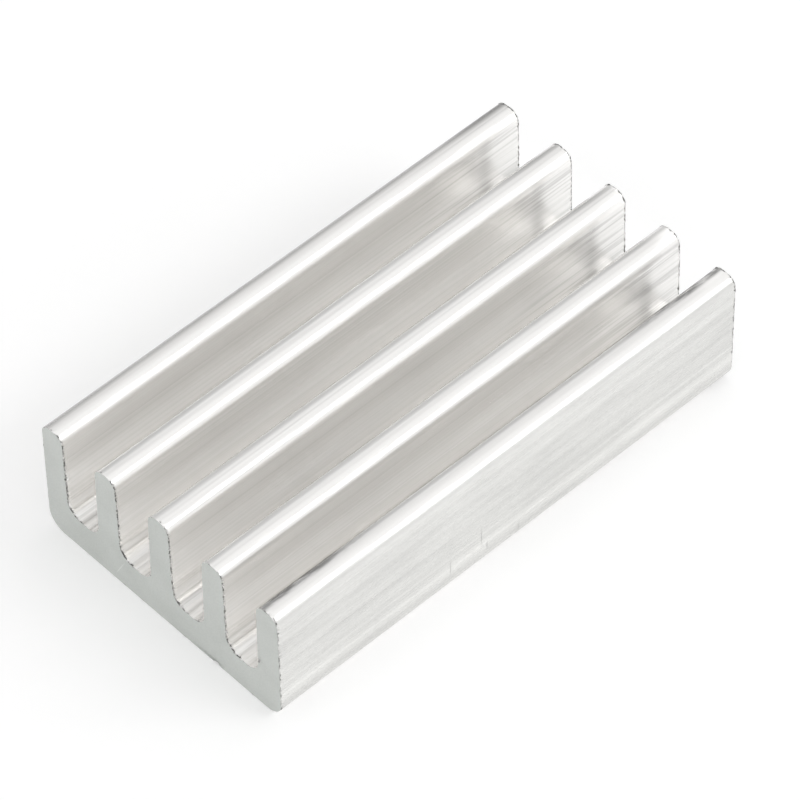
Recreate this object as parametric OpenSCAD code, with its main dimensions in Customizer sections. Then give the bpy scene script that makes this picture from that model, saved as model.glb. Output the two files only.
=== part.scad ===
// Extruded aluminium heat sink for a small chip package.
// One bar of constant section, sawn square to length: a thick base with a row of upright fins.
// X runs across the fins, Y along the extrusion and Z up from the mounting face.
// The origin is the centre of the mounting face.

/* [Bar] */
// Width across the fins
body_w = 11; // [10.5:0.25:12]
// Length that the bar is sawn to
body_l = 20; // [6:1:60]
// Height from the mounting face to the fin tips
body_h = 5; // [4:0.25:8]
// Radius along the two long edges of the mounting face
edge_r = 0.7; // [0.2:0.05:1]

/* [Fins] */
// Number of fins
fin_count = 5; // [3:1:5]
// Thickness of a fin at the height of its tip, before the edges are rounded
fin_tip_t = 0.95; // [0.85:0.05:1.05]
// Thickness of a fin at the channel floor
fin_root_t = 1.05; // [0.95:0.05:1.15]
// Radius on the two long edges of a fin tip
tip_r = 0.4; // [0.1:0.05:0.4]

/* [Channels] */
// Thickness of metal left under a channel floor
base_t = 1.4; // [1:0.1:2]
// Radius where a channel floor turns up into a fin
floor_r = 0.55; // [0.2:0.05:0.6]

/* [Hidden] */
$fn = 96;

// Fins are spaced on their mean thickness, which puts the outer two flush with the bar's sides
fin_mean_t = (fin_tip_t + fin_root_t) / 2;
pitch = (body_w - fin_mean_t) / (fin_count - 1);

// Each channel is centred between two fins and opens upwards by the lean of their flanks
floor_w = pitch - fin_root_t;
lean = atan((fin_root_t - fin_tip_t) / 2 / (body_h - base_t));
function channel_half_w(z) = floor_w / 2 + (z - base_t) * tan(lean);

// Arc in the channel's right-hand floor corner: its centre, and where it meets the flank
floor_arc = [channel_half_w(base_t + floor_r) - floor_r / cos(lean), base_t + floor_r];
flank_foot = floor_arc + floor_r * [cos(lean), -sin(lean)];

// Arc on the facing edge of the fin tip: its centre, and where it meets the flank
tip_arc = [channel_half_w(body_h - tip_r) + tip_r / cos(lean), body_h - tip_r];
flank_top = tip_arc + tip_r * [-cos(lean), sin(lean)];

// How far the channel is cut past the fin tips
cut_over = 1;

// Outline of the bar before its channels: square sides, with its four long edges rounded
module bar_outline() {
    side_x = body_w / 2;
    for (side = [0, 1]) mirror([side, 0]) {
        polygon([
            [0, 0], [side_x - edge_r, 0], [side_x, edge_r],
            [side_x, body_h - tip_r], [side_x - tip_r, body_h], [0, body_h]
        ]);
        translate([side_x - edge_r, edge_r]) circle(r = edge_r);
        translate([side_x - tip_r, body_h - tip_r]) circle(r = tip_r);
    }
}

// Right-hand half of the space between two fins
module half_channel() {
    difference() {
        union() {
            polygon([
                [0, base_t], [floor_arc.x, base_t], flank_foot, flank_top,
                [tip_arc.x, body_h], [tip_arc.x, body_h + cut_over], [0, body_h + cut_over]
            ]);
            translate(floor_arc) circle(r = floor_r);
        }
        translate(tip_arc) circle(r = tip_r);
    }
}

module section() {
    difference() {
        bar_outline();
        for (i = [1 : fin_count - 1])
            translate([(i - fin_count / 2) * pitch, 0])
                for (side = [0, 1]) mirror([side, 0]) half_channel();
    }
}

module heat_sink() {
    color("silver")
        rotate([90, 0, 0])
            linear_extrude(height = body_l, center = true) section();
}

heat_sink();
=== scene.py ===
"""Looks of the finned aluminium heat sink: the bar with its sawn ends, its finish, its floor and light."""

import math
import random

import bpy
from mathutils import Matrix, Quaternion, Vector


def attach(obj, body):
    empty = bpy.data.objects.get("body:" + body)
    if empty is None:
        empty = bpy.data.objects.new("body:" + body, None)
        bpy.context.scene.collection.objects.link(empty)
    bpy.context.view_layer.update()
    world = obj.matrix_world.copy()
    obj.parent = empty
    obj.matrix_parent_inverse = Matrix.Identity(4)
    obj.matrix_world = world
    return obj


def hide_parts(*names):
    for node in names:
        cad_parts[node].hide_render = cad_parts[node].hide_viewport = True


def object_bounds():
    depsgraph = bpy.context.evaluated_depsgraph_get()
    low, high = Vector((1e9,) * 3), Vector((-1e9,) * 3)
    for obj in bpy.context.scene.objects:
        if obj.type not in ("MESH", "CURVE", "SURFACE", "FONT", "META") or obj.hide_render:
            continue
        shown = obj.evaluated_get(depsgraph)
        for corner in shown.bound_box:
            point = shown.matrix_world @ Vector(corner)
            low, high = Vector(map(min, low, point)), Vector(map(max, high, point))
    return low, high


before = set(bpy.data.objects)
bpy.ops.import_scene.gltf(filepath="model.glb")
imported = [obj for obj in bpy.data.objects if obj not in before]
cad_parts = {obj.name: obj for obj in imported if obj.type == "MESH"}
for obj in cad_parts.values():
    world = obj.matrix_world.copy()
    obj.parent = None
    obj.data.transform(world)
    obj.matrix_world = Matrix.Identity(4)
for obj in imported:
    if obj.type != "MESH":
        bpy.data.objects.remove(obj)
cad_low, cad_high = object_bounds()

MM = 0.001

# Half the bar's width, half its length and its height, in mm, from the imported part.
HALF_WIDTH, HALF_LENGTH, HEIGHT = (round(reach / MM, 3) for reach in cad_high)

# Section of the bar, in mm.
FIN_COUNT = 5
PITCH = 2.5
FIN_ROOT = 1.05
FIN_LEAN = 0.05
FLOOR_Z = 1.4
TIP_R = 0.4
FLOOR_R = 0.55
EDGE_R = 0.7

# How far from a level a point may lie and still count as on it, in mm.
NEARLY = 0.01
EXACTLY = 0.001

# The bar's finishes, in the order of its material slots.
MILL, SAWN, SHADED_BURR = range(3)


# ---------------------------------------------------------------- shader maths


class Wire:
    """An output socket. Arithmetic on it adds Math nodes to its tree."""

    def __init__(self, bench, socket):
        self.bench = bench
        self.socket = socket

    def _maths(self, operation, a, b):
        return self.bench.node("ShaderNodeMath", {"operation": operation}, {0: a, 1: b})

    def __add__(self, other):
        return self._maths("ADD", self, other)

    def __sub__(self, other):
        return self._maths("SUBTRACT", self, other)

    def __rsub__(self, other):
        return self._maths("SUBTRACT", other, self)

    def __mul__(self, other):
        return self._maths("MULTIPLY", self, other)

    __radd__ = __add__
    __rmul__ = __mul__


class Bench:
    """Adds nodes to one node tree."""

    def __init__(self, tree):
        self.tree = tree

    def node(self, kind, settings=None, sockets=None, out=0):
        """A new node with its settings and sockets filled in. Gives one of its outputs."""
        made = self.tree.nodes.new(kind)
        for name, value in (settings or {}).items():
            setattr(made, name, value)
        self.fill(made, sockets or {})
        return Wire(self, made.outputs[out])

    def fill(self, node, sockets):
        """Links a node's sockets to wires, or sets them to plain values."""
        for name, value in sockets.items():
            if isinstance(value, Wire):
                self.tree.links.new(value.socket, node.inputs[name])
            else:
                node.inputs[name].default_value = value

    def between(self, value, low, high, to_low=0.0, to_high=1.0):
        """value eased from to_low at low to to_high at high."""
        return self.node(
            "ShaderNodeMapRange",
            {"interpolation_type": "SMOOTHSTEP"},
            {"Value": value, "From Min": low, "From Max": high, "To Min": to_low, "To Max": to_high},
        )

    def near(self, value, centre, reach):
        """1 where value is at the centre, eased to 0 a reach away from it."""
        away = self.node("ShaderNodeMath", {"operation": "ABSOLUTE"}, {0: value - centre})
        return self.between(away, reach, 0.0)

    def grain(self, at, across, along, detail, roughness):
        """Noise from 0 to 1, with so many grains to the mm across the bar and along it."""
        count = [grains / MM for grains in (across, along, across)]
        scaled = self.node("ShaderNodeMapping", None, {"Vector": at, "Scale": count})
        return self.node(
            "ShaderNodeTexNoise",
            {"noise_dimensions": "3D"},
            {"Vector": scaled, "Scale": 1.0, "Detail": detail, "Roughness": roughness},
        )

    def sway(self, grains, share):
        """Grains as a change of tone, as much darker as lighter."""
        return (grains - 0.5) * share

    def mix(self, share, a, b):
        """A colour between a and b. The Mix node's colours are its inputs 6 and 7, and its output 2."""
        return self.node("ShaderNodeMix", {"data_type": "RGBA"}, {"Factor": share, 6: a, 7: b}, out=2)

    def bump(self, height, depth):
        """The surface's direction where a height pattern stands out by a depth in mm."""
        return self.node("ShaderNodeBump", None, {"Strength": 1.0, "Distance": depth * MM, "Height": height})

    def axes(self, vector, scale=None):
        """A vector's x, y and z, each times the scale if there is one."""
        apart = self.node("ShaderNodeSeparateXYZ", None, {"Vector": vector}).socket.node
        wires = [Wire(self, output) for output in apart.outputs]
        return [wire * scale for wire in wires] if scale else wires


def new_finish(name):
    """A new material, the bench for its nodes and its shader."""
    material = bpy.data.materials.new(name)
    material.use_nodes = True
    return material, Bench(material.node_tree), material.node_tree.nodes["Principled BSDF"]


# ---------------------------------------------------------------- finishes


def wall_scuffs_and_painted_light(bench, at, y, z, comb, speck):
    """How dulled the outer wall is: evenly and in clouds, less so in bands along it and in a painted
    highlight high up, more so in scratches and in painted shadow along its lower edge.
    """
    evenly = 0.235
    # How high each pale band is, how far it reaches up and down, and how much it pales the wall.
    bands = ((1.2, 0.5, 0.08), (1.72, 0.07, 0.08), (1.2, 0.05, 0.05))
    pale_bands_and_painted_light = sum(bench.near(z, height, reach) * share for height, reach, share in bands)
    # A painted highlight high up, just below the tip's highlight.
    pale_bands_and_painted_light += bench.between(z, 3.3, 4.1) * 0.05
    # Painted shadow round the lower edge, where the wall meets the floor.
    pale_bands_and_painted_light -= bench.between(z, 0.9, 0.6) * 0.03 + bench.between(z, 0.52, 0.34) * 0.3

    cloud = bench.grain(at, 0.9, 0.25, 3.0, 0.6)
    scuffs_and_painted_light = bench.between(cloud, 0.35, 0.65) * 0.06 + bench.between(speck, 0.45, 0.75) * 0.06
    scuffs_and_painted_light += bench.between(comb, 0.42, 0.68) * 0.02
    scuffs_and_painted_light = scuffs_and_painted_light + evenly - pale_bands_and_painted_light

    # Short upright scratches: the place along the wall, how high up, and the reach up and down.
    scratches = ((-1.34, 1.6, 0.75), (-2.7, 1.2, 0.5), (0.29, 0.75, 0.35), (-1.1, 1.0, 0.3))
    scratch_width = 0.045
    scratch_tone = 0.24
    for place, height, reach in scratches:
        scuffs_and_painted_light += bench.near(y, place, scratch_width) * bench.near(z, height, reach) * scratch_tone
    return scuffs_and_painted_light


def tip_smears_and_shade(bench, y, across, tip, first, last, fleck):
    """Painted shade over the left shoulders of the fin tips, standing in for the dark surroundings they
    reflect, darkest on the first fin, with dark flecks, and painted shade over the tips near the far end,
    broader there.
    """
    shoulder_shade = bench.between(across, -0.02, -0.32) * tip * (first * 0.26 + last * 0.07 + 0.06)
    first_shoulder_shade = bench.between(across, -0.22, -0.36) * tip * first * 0.10
    flecks = bench.between(across, -0.26, -0.38) * tip * bench.between(fleck, 0.4, 0.65)
    far_tip_shade = bench.between(y, HALF_LENGTH - 3, HALF_LENGTH - 1) * bench.between(across, 0.15, -0.3) * tip
    return shoulder_shade + first_shoulder_shade + flecks * (last * 0.25 + 0.15) + far_tip_shade * (0.22 - last * 0.18)


def tip_smut(bench, y, across, tip, last, fleck):
    """Black smut on the last fin's left shoulder, towards both of its ends."""
    ends = bench.between(y, 5.5 - HALF_LENGTH, 1.5 - HALF_LENGTH)
    ends += bench.between(y, HALF_LENGTH - 5, HALF_LENGTH - 1)
    return bench.between(across, -0.02, -0.16) * tip * last * ends * bench.between(fleck, 0.35, 0.6, 0.2, 1.0)


def mill_finish():
    """Bare extruded metal: lines that the die drew along it, smeared fin tips and a scuffed outer wall, with
    painted shade on the tips' left shoulders, along the wall's foot and near the far end, and painted light
    in a patch on the flanks and high on the wall.
    """
    material, bench, shader = new_finish("mill_finish")
    at = bench.node("ShaderNodeTexCoord", out="Object")
    x, y, z = bench.axes(at, 1 / MM)
    across = bench.node("ShaderNodeMath", {"operation": "WRAP"}, {0: x, 1: PITCH / 2, 2: -PITCH / 2})
    outermost = (FIN_COUNT - 1) / 2 * PITCH

    # Each of these is 1 on its own stretch of the bar and 0 off it. Outer is the right-hand wall, and floor
    # is all that lies low down apart from that wall.
    outer = bench.between(x, HALF_WIDTH - 0.2, HALF_WIDTH - 0.04)
    inside = 1 - outer
    flank = bench.between(across, 0.4, 0.46) * bench.between(z, FLOOR_Z + 0.1, FLOOR_Z + 0.7) * inside
    tip = bench.between(z, HEIGHT - 0.6, HEIGHT - 0.25)
    floor = bench.between(z, FLOOR_Z + 1.2, FLOOR_Z + 0.2) * inside
    far_end = bench.between(y, HALF_LENGTH - 6, HALF_LENGTH - 2)
    first = bench.between(x, 0.8 - outermost, 0.5 - outermost)
    last = bench.between(x, outermost - 0.8, outermost - 0.5)

    # Patterns of grains, from streaks as long as the bar to specks.
    broad = bench.grain(at, 1.5, 0.008, 3.0, 0.6)
    fine = bench.grain(at, 8, 0.025, 3.0, 0.6)
    hair = bench.grain(at, 60, 0.3, 1.0, 0.5)
    comb = bench.grain(at, 6.5, 0.15, 2.0, 0.6)
    speck = bench.grain(at, 12, 5, 3.0, 0.65)
    fleck = bench.grain(at, 5, 0.9, 3.0, 0.7)
    drawn = bench.grain(at, 4.2, 0.0015, 2.0, 0.5)

    # The metal's tone: streaks about an even tone, less each mark on it.
    streaks = bench.sway(broad, 0.08) + bench.sway(fine, floor * 0.7 - outer * 0.12 + 0.28)
    streaks += bench.sway(drawn, 0.10)
    # Dark drawn lines, and a denser comb of them low down and on the flanks towards the far end.
    lines = (bench.near(drawn, 0.46, 0.04) + bench.near(drawn, 0.58, 0.03)) * (1 - tip) * 0.06
    combed = bench.between(comb, 0.50, 0.60) * (flank * far_end + floor * 0.8) * 0.2
    # Near the far end: painted shade in a band up the flanks, standing in for the shadow behind the bar that
    # they reflect, and darker painted shade on a rim low down.
    painted_shade_band = bench.near(y, HALF_LENGTH - 1.55, 0.45) * flank * 0.12
    low_down = bench.between(z, FLOOR_Z + 0.7, FLOOR_Z + 0.4)
    painted_rim_shade = bench.between(y, HALF_LENGTH - 1.1, HALF_LENGTH - 0.7) * low_down * inside * 0.2
    # Painted light: a light patch before that band, where the flanks keep their full tone.
    painted_light_patch = bench.between(y, HALF_LENGTH - 4.4, HALF_LENGTH - 3.4)
    painted_light_patch *= bench.between(y, HALF_LENGTH - 1.7, HALF_LENGTH - 2.3)
    # The outer wall's scuffs, with a painted highlight high up and painted shadow along its foot.
    scuffs_and_painted_light = wall_scuffs_and_painted_light(bench, at, y, z, comb, speck) * outer
    # Painted shade on the fin tips' left shoulders and towards the far end, with flecks.
    smear_and_shade = tip_smears_and_shade(bench, y, across, tip, first, last, fleck)
    smut = tip_smut(bench, y, across, tip, last, fleck) * 0.6
    # Outside the painted light patch the flanks are painted a touch darker.
    tone = 1.0 - flank * (1 - painted_light_patch) * 0.02 + streaks
    for mark in (lines, combed, painted_shade_band, painted_rim_shade, scuffs_and_painted_light, smear_and_shade, smut):
        tone -= mark

    black = (0.02, 0.02, 0.02, 1)
    metal = bench.mix(outer, (1.0, 0.99, 0.972, 1), (0.993, 0.99, 0.965, 1))
    height = broad * 1.4 + fine * (floor * 2.0 - outer * 0.7 + 1.3)
    height += hair * (tip * 0.3 + outer * 0.3 + 0.3)
    height += speck * outer
    bench.fill(
        shader,
        {
            "Base Color": bench.mix(tone, black, metal),
            "Metallic": 0.7,
            "Roughness": bench.between(broad * 0.5 + speck * 0.5, 0.3, 0.7, 0.18, 0.22) + outer * 0.04,
            "Normal": bench.bump(height, 0.006),
        },
    )
    return material


def sawn_finish():
    """The cut ends: dull and even, each with a light scratch across its base."""
    material, bench, shader = new_finish("sawn_finish")
    at = bench.node("ShaderNodeTexCoord", out="Object")
    x, _, z = bench.axes(at, 1 / MM)
    cloud = bench.grain(at, 0.5, 0.5, 3.0, 0.55)
    grit = bench.grain(at, 14, 14, 2.0, 0.6)

    # The scratch runs through its middle, square to this slope.
    middle_x, middle_z = -2.05, 0.75
    slope_x, slope_z = 0.89, -0.45
    off_line = (x - middle_x) * slope_x + (z - middle_z) * slope_z
    scratch = bench.near(off_line, 0.0, 0.03) * bench.near(z, middle_z, 0.55)

    tone = bench.between(cloud, 0.3, 0.7, 0.0, 0.3) + bench.between(grit, 0.3, 0.7, 0.0, 0.3) + scratch
    bench.fill(
        shader,
        {
            "Base Color": bench.mix(tone, (0.55, 0.57, 0.545, 1), (0.70, 0.72, 0.695, 1)),
            "Metallic": 0.4,
            "Roughness": 0.6,
            "Normal": bench.bump(grit, 0.003),
        },
    )
    return material


def shaded_burr_metal():
    """The ragged lip that the saw leaves along its edges: coloured dark as painted shade for the groove along
    it, with bright specks.
    """
    material, bench, shader = new_finish("shaded_burr_metal")
    speck = bench.grain(bench.node("ShaderNodeTexCoord", out="Object"), 9, 9, 3.0, 0.65)
    tone = bench.between(speck, 0.46, 0.62)
    bench.fill(
        shader,
        {
            "Base Color": bench.mix(tone, (0.14, 0.14, 0.135, 1), (0.70, 0.70, 0.68, 1)),
            "Metallic": 0.6,
            "Roughness": 0.5,
        },
    )
    return material


# ---------------------------------------------------------------- modelling


def edit(piece):
    """Opens a piece in edit mode with nothing selected."""
    bpy.ops.object.select_all(action="DESELECT")
    piece.select_set(True)
    bpy.context.view_layer.objects.active = piece
    bpy.ops.object.mode_set(mode="EDIT")
    bpy.ops.mesh.select_all(action="DESELECT")


def leave():
    """Goes back to object mode."""
    bpy.ops.object.mode_set(mode="OBJECT")


def pick(piece, kind, test):
    """Selects the vertices, edges or faces that pass the test, and nothing else. Lengths are in mm."""
    bpy.ops.object.mode_set(mode="EDIT")
    bpy.ops.mesh.select_mode(type={"vertices": "VERT", "edges": "EDGE", "polygons": "FACE"}[kind])
    bpy.ops.mesh.select_all(action="DESELECT")
    bpy.ops.object.mode_set(mode="OBJECT")
    mesh = piece.data
    for item in getattr(mesh, kind):
        if kind == "vertices":
            keep = test(item.co / MM)
        elif kind == "edges":
            keep = test(*(mesh.vertices[i].co / MM for i in item.vertices))
        else:
            keep = test(item.center / MM, item.normal)
        item.select = bool(keep)
    bpy.ops.object.mode_set(mode="EDIT")


def shift(x=0.0, y=0.0, z=0.0):
    """Moves what is selected by so many mm."""
    bpy.ops.transform.translate(value=(x * MM, y * MM, z * MM))


def from_fin(x):
    """How far a place is to the right of the middle of its nearest fin."""
    return (x + PITCH / 2) % PITCH - PITCH / 2


def draw_section(width, height, near):
    """The bar's near end as one flat face: base, fins and channels with sharp corners."""
    bpy.ops.object.select_all(action="DESELECT")
    bpy.ops.mesh.primitive_plane_add(size=1, rotation=(math.radians(90), 0, 0))
    bar = bpy.context.object
    bar.name = "finned_bar"
    bar.location = (0, near * MM, FLOOR_Z / 2 * MM)
    bar.scale = (width * MM, FLOOR_Z * MM, 1)
    bpy.ops.object.transform_apply(location=True, rotation=True, scale=True)
    edit(bar)
    channels = [(i - (FIN_COUNT - 2) / 2) * PITCH for i in range(FIN_COUNT - 1)]
    half_floor = (PITCH - FIN_ROOT) / 2
    walls = [(x, side) for x in channels for side in (-1, 1)]
    for x, side in walls:
        bpy.ops.mesh.select_all(action="SELECT")
        bpy.ops.mesh.bisect(plane_co=((x + side * half_floor) * MM, 0, 0), plane_no=(1, 0, 0))

    def under_fin(a, b):
        middle = (a + b) / 2
        level = min(a.z, b.z) > FLOOR_Z - NEARLY
        return level and min(abs(middle.x - x) for x in channels) > half_floor

    pick(bar, "edges", under_fin)
    bpy.ops.mesh.extrude_edges_move(TRANSFORM_OT_translate={"value": (0, 0, (height - FLOOR_Z) * MM)})
    for x, side in walls:
        pick(bar, "vertices", lambda p: p.z > height - NEARLY and abs(p.x - x - side * half_floor) < NEARLY)
        shift(x=side * FIN_LEAN)
    bpy.ops.mesh.select_all(action="SELECT")
    bpy.ops.mesh.dissolve_limited(angle_limit=math.radians(0.1))
    leave()
    return bar


def round_corners(bar, height):
    """Rounds the section's corners: the fin tips, the channel floors and the two edges under the bar."""
    corners = [
        (TIP_R, 10, lambda p: p.z > height - NEARLY),
        (FLOOR_R, 12, lambda p: abs(p.z - FLOOR_Z) < NEARLY),
        (EDGE_R, 12, lambda p: p.z < NEARLY),
    ]
    for radius, segments, test in corners:
        pick(bar, "vertices", test)
        bpy.ops.mesh.bevel(
            offset_type="OFFSET", offset=radius * MM, segments=segments, profile=0.5, affect="VERTICES"
        )
    leave()


def split_straights(bar):
    """Puts points along the straight runs of the outline, close enough together to carry the die's lines."""
    # The lengths of each kind of run, in mm, and how often it is cut.
    runs = [
        (0.12, 0.3, 3),  # the flats on the fin tips
        (0.3, 0.7, 6),  # the flats of the channel floors
        (1.0, 3.2, 43),  # the flanks in the channels
        (3.2, 5.0, 63),  # the two outer walls
        (5.0, 12.0, 95),  # the mounting face
    ]
    edit(bar)
    bpy.ops.mesh.select_all(action="SELECT")
    bpy.ops.mesh.delete(type="ONLY_FACE")
    for shortest, longest, cuts in runs:
        pick(bar, "edges", lambda a, b: shortest < (b - a).length <= longest)
        bpy.ops.mesh.subdivide(number_cuts=cuts)
    bpy.ops.mesh.select_all(action="SELECT")
    bpy.ops.mesh.edge_face_add()
    leave()


def pull_to_length(bar, length):
    """Pulls the section out along the bar, in short steps at its ends and longer ones between."""
    ends = [0.05, 0.07, 0.1, 0.15, 0.23]
    middle = 44
    steps = ends + [(length - 2 * sum(ends)) / middle] * middle + ends[::-1]
    edit(bar)
    bpy.ops.mesh.select_all(action="SELECT")
    for step in steps:
        bpy.ops.mesh.extrude_region_move(TRANSFORM_OT_translate={"value": (0, step * MM, 0)})
    bpy.ops.mesh.select_all(action="SELECT")
    bpy.ops.mesh.normals_make_consistent(inside=False)
    leave()


def sink_die_lines(bar):
    """Sinks shallow lines along the whole bar, as a die leaves them: a cloudy pattern, drawn out long."""
    grain = (0.16, 9.0, 0.16)
    depth = 0.003
    bpy.ops.object.select_all(action="DESELECT")
    gauge = bpy.data.objects.new("die_gauge", None)
    bpy.context.scene.collection.objects.link(gauge)
    gauge.scale = [size * MM for size in grain]
    bpy.context.view_layer.update()
    clouds = bpy.data.textures.new("die_lines", "CLOUDS")
    clouds.noise_scale = 1.0
    bpy.context.view_layer.objects.active = bar
    bar.select_set(True)
    sink = bar.modifiers.new("die_lines", "DISPLACE")
    sink.texture = clouds
    sink.texture_coords = "OBJECT"
    sink.texture_coords_object = gauge
    sink.mid_level = 1.0
    sink.strength = depth * MM
    bpy.ops.object.modifier_apply(modifier=sink.name)
    bpy.data.objects.remove(gauge)
    bpy.data.textures.remove(clouds)


def press_flat(bar, axis, level, test):
    """Presses what passes the test flat against a plane across one axis."""
    pick(bar, "vertices", test)
    keep, centre = [1, 1, 1], [0, 0, 0]
    keep[axis], centre[axis] = 0, level * MM
    bpy.ops.transform.resize(value=keep, center_override=centre)
    leave()


def press_into_box(bar, low, high):
    """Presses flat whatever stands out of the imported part's box."""
    for axis in range(3):
        press_flat(bar, axis, low[axis] / MM, lambda p: p[axis] < low[axis] / MM)
        press_flat(bar, axis, high[axis] / MM, lambda p: p[axis] > high[axis] / MM)


def give_burr_shade(bar):
    """Gives the selected faces the burr's dark finish, which paints shade on them."""
    bar.active_material_index = SHADED_BURR
    bpy.ops.object.material_slot_assign()


def finish_end(bar, end, seed):
    """Breaks the sharp edge round one sawn end, and leaves a ragged burr where the saw left the metal."""
    near = end < 0
    # Widths in mm: of the broken edge, of the rings of faces inside it, and of the burr.
    edge = 0.025
    rings = (0.04, 0.03)
    burr_along_bar = 0.04 if near else 0.055
    burr_on_face = 0.035
    raggedness = 0.034

    def is_end_face(p, n):
        """The whole end is one face, whose middle lies in the middle fin."""
        return abs(n.y) > 0.99 and abs(p.y - end) < EXACTLY and abs(from_fin(p.x)) < 0.1

    press_flat(bar, 1, end, lambda p: abs(p.y - end) < NEARLY)
    pick(bar, "edges", lambda a, b: abs(a.y - end) < EXACTLY and abs(b.y - end) < EXACTLY)
    bpy.ops.mesh.bevel(offset=edge * MM, segments=2, profile=0.6, affect="EDGES")
    for width in rings:
        pick(bar, "polygons", is_end_face)
        bpy.ops.mesh.inset(thickness=width * MM)
    leave()

    dice = random.Random(seed)
    edge_reach = 0.03
    corners = [v.co / MM for v in bar.data.vertices if EXACTLY < abs(v.co.y / MM - end) < edge_reach]

    def in_burr(p, n):
        """Most of the edge to the right of each fin and over the far tips, and a little of the rest."""
        if abs(p.y - end) > burr_along_bar:
            return False
        if abs(n.y) > 0.99 and min((p - q).length for q in corners) > burr_on_face:
            return False
        over_the_top = not near and p.z > HEIGHT - 0.45
        on_the_wall = near and p.x > HALF_WIDTH - 0.1 and p.z > 0.6
        right_of_fin = 0.28 < from_fin(p.x) < 1.15 and p.z > FLOOR_Z - 0.2
        chance = 0.08
        if over_the_top:
            chance = 0.78
        elif on_the_wall:
            chance = 0.4
        elif right_of_fin:
            chance = 0.72
        return dice.random() < chance

    # The burr's faces take its dark finish: painted shade along the ragged lip.
    pick(bar, "polygons", in_burr)
    give_burr_shade(bar)
    bpy.ops.transform.vertex_random(offset=raggedness * MM, seed=seed)
    leave()


def nick(bar, place, reach, push):
    """A small nick: the metal within reach of a place is pushed aside and coloured dark with the burr's
    painted shade. All in mm.
    """
    place = Vector(place)
    pick(bar, "polygons", lambda p, n: (p - place).length < reach)
    give_burr_shade(bar)
    pick(bar, "vertices", lambda p: (p - place).length < reach)
    shift(*push)
    leave()


def make_bar(low, high):
    """The finned bar: its section drawn, rounded and pulled to length, then its ends sawn and nicked."""
    width, length, height = ((high - low) / MM)[:]
    near, far = low.y / MM, high.y / MM
    bar = draw_section(width, height, near)
    round_corners(bar, height)
    split_straights(bar)
    pull_to_length(bar, length)
    sink_die_lines(bar)
    for finish in (mill_finish(), sawn_finish(), shaded_burr_metal()):
        bar.data.materials.append(finish)
    for face in bar.data.polygons:
        face.material_index = SAWN if abs(face.normal.y) > 0.9 else MILL
    finish_end(bar, near, seed=3)
    finish_end(bar, far, seed=8)
    # At the edges of the first fin's right flank, the last fin's left flank and the mounting face.
    nick(bar, (-4.47, near, 3.0), 0.09, (-0.04, 0.03, 0))
    nick(bar, (4.53, near, 2.15), 0.08, (0.04, 0.03, 0))
    nick(bar, (2.45, near, 0.0), 0.09, (0, 0.04, 0.05))
    press_into_box(bar, low, high)
    bpy.ops.object.select_all(action="DESELECT")
    bar.select_set(True)
    bpy.context.view_layer.objects.active = bar
    bpy.ops.object.shade_smooth_by_angle(angle=math.radians(30))
    return bar


# ---------------------------------------------------------------- stage


def lay_floor():
    """A wide matt floor that shines faintly, like a lit white table."""
    bpy.ops.object.select_all(action="DESELECT")
    bpy.ops.mesh.primitive_plane_add(size=4, location=(0, 0, 0))
    floor = bpy.context.object
    floor.name = "floor"
    material, bench, shader = new_finish("pale_floor")
    bench.fill(
        shader,
        {
            "Base Color": (0.92, 0.92, 0.92, 1),
            "Roughness": 0.9,
            "Specular IOR Level": 0.0,
            "Emission Color": (1, 1, 1, 1),
            "Emission Strength": 0.2,
        },
    )
    floor.data.materials.append(material)


def hang_dome():
    """White light all round, dimmer on the left of the fins and dimmest low down there."""
    dome = bpy.data.worlds.new("dome")
    dome.use_nodes = True
    bpy.context.scene.world = dome
    bench = Bench(dome.node_tree)
    x, _, z = bench.axes(bench.node("ShaderNodeTexCoord"))
    # Degrees from straight up towards the right of the fins.
    lean = bench.node("ShaderNodeMath", {"operation": "ARCTAN2"}, {0: x, 1: z}) * (180 / math.pi)
    glow = bench.between(lean, -100, -60, 0.36, 0.50)
    glow += bench.between(lean, -46, -26, 0.0, 0.41)
    bench.fill(dome.node_tree.nodes["Background"], {"Color": (1, 1, 1, 1), "Strength": glow})


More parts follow.
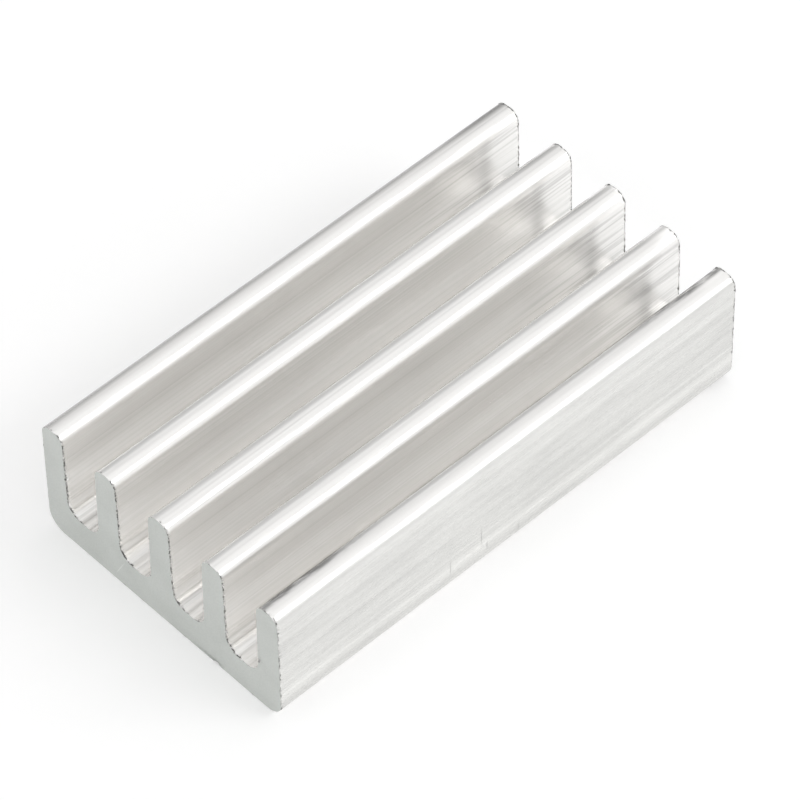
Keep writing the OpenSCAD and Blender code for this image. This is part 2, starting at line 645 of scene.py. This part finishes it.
def hang_lamp(name, lean, up_y, away, size, glow):
    """A soft lamp that faces the object from so many mm away, and that the camera doesn't see. It leans so
    many degrees from straight up towards +X, and up_y is how far along +Y the way to it points. Its size is
    along the bar and across it, in mm."""
    angle = math.radians(lean)
    level = math.sqrt(1 - up_y**2)
    way = Vector((math.sin(angle) * level, up_y, math.cos(angle) * level))
    along = (Vector((0, 1, 0)) - way * up_y).normalized()
    turn = Matrix((along, way.cross(along), way)).transposed()
    lamp_data = bpy.data.lights.new(name, "AREA")
    lamp_data.shape = "RECTANGLE"
    lamp_data.size = size[0] * MM
    lamp_data.size_y = size[1] * MM
    lamp_data.energy = glow * math.pi * lamp_data.size * lamp_data.size_y
    lamp = bpy.data.objects.new(name, lamp_data)
    bpy.context.scene.collection.objects.link(lamp)
    lamp.location = way * away * MM
    lamp.rotation_mode = "QUATERNION"
    lamp.rotation_quaternion = turn.to_quaternion()
    lamp.visible_camera = False


def set_camera():
    """A long lens that looks down on the near right-hand corner."""
    azimuth, elevation, roll = (math.radians(a) for a in (47.631, 50.190, -1.222))
    # In mm: how far off it is, where on the floor it aims, and how far its view slides across and up.
    distance = 186.36
    aim = Vector((-1.3737, 1.5802, 0))
    slide = Vector((-0.0164, 0.0164, 0))
    back = Vector(
        (
            math.sin(azimuth) * math.cos(elevation),
            -math.cos(azimuth) * math.cos(elevation),
            math.sin(elevation),
        )
    )
    turn = (-back).to_track_quat("-Z", "Y") @ Quaternion((0, 0, 1), roll)
    lens = bpy.data.cameras.new("camera")
    lens.lens = 256.5
    lens.sensor_width = 36
    lens.clip_start = 0.01
    camera = bpy.data.objects.new("camera", lens)
    bpy.context.scene.collection.objects.link(camera)
    camera.location = (aim + turn @ slide + back * distance) * MM
    camera.rotation_mode = "QUATERNION"
    camera.rotation_quaternion = turn
    bpy.context.scene.camera = camera


def set_light_paths():
    """Lets light bounce often enough to reach down the channels, and keeps whites white."""
    bounces = 16
    scene = bpy.context.scene
    scene.view_settings.view_transform = "Standard"
    scene.cycles.max_bounces = bounces
    scene.cycles.glossy_bounces = bounces


# ---------------------------------------------------------------- the whole

bar = make_bar(cad_low, cad_high)
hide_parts("heat_sink")
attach(bar, "root")
lay_floor()
hang_dome()
hang_lamp("key", lean=43, up_y=0.43, away=300, size=(150, 71), glow=3.2)
# Just behind the far end, like a white card that lights the channels' far ends.
hang_lamp("card", lean=-21, up_y=0.917, away=12.6, size=(3, 12), glow=0.33)
set_camera()
set_light_paths()
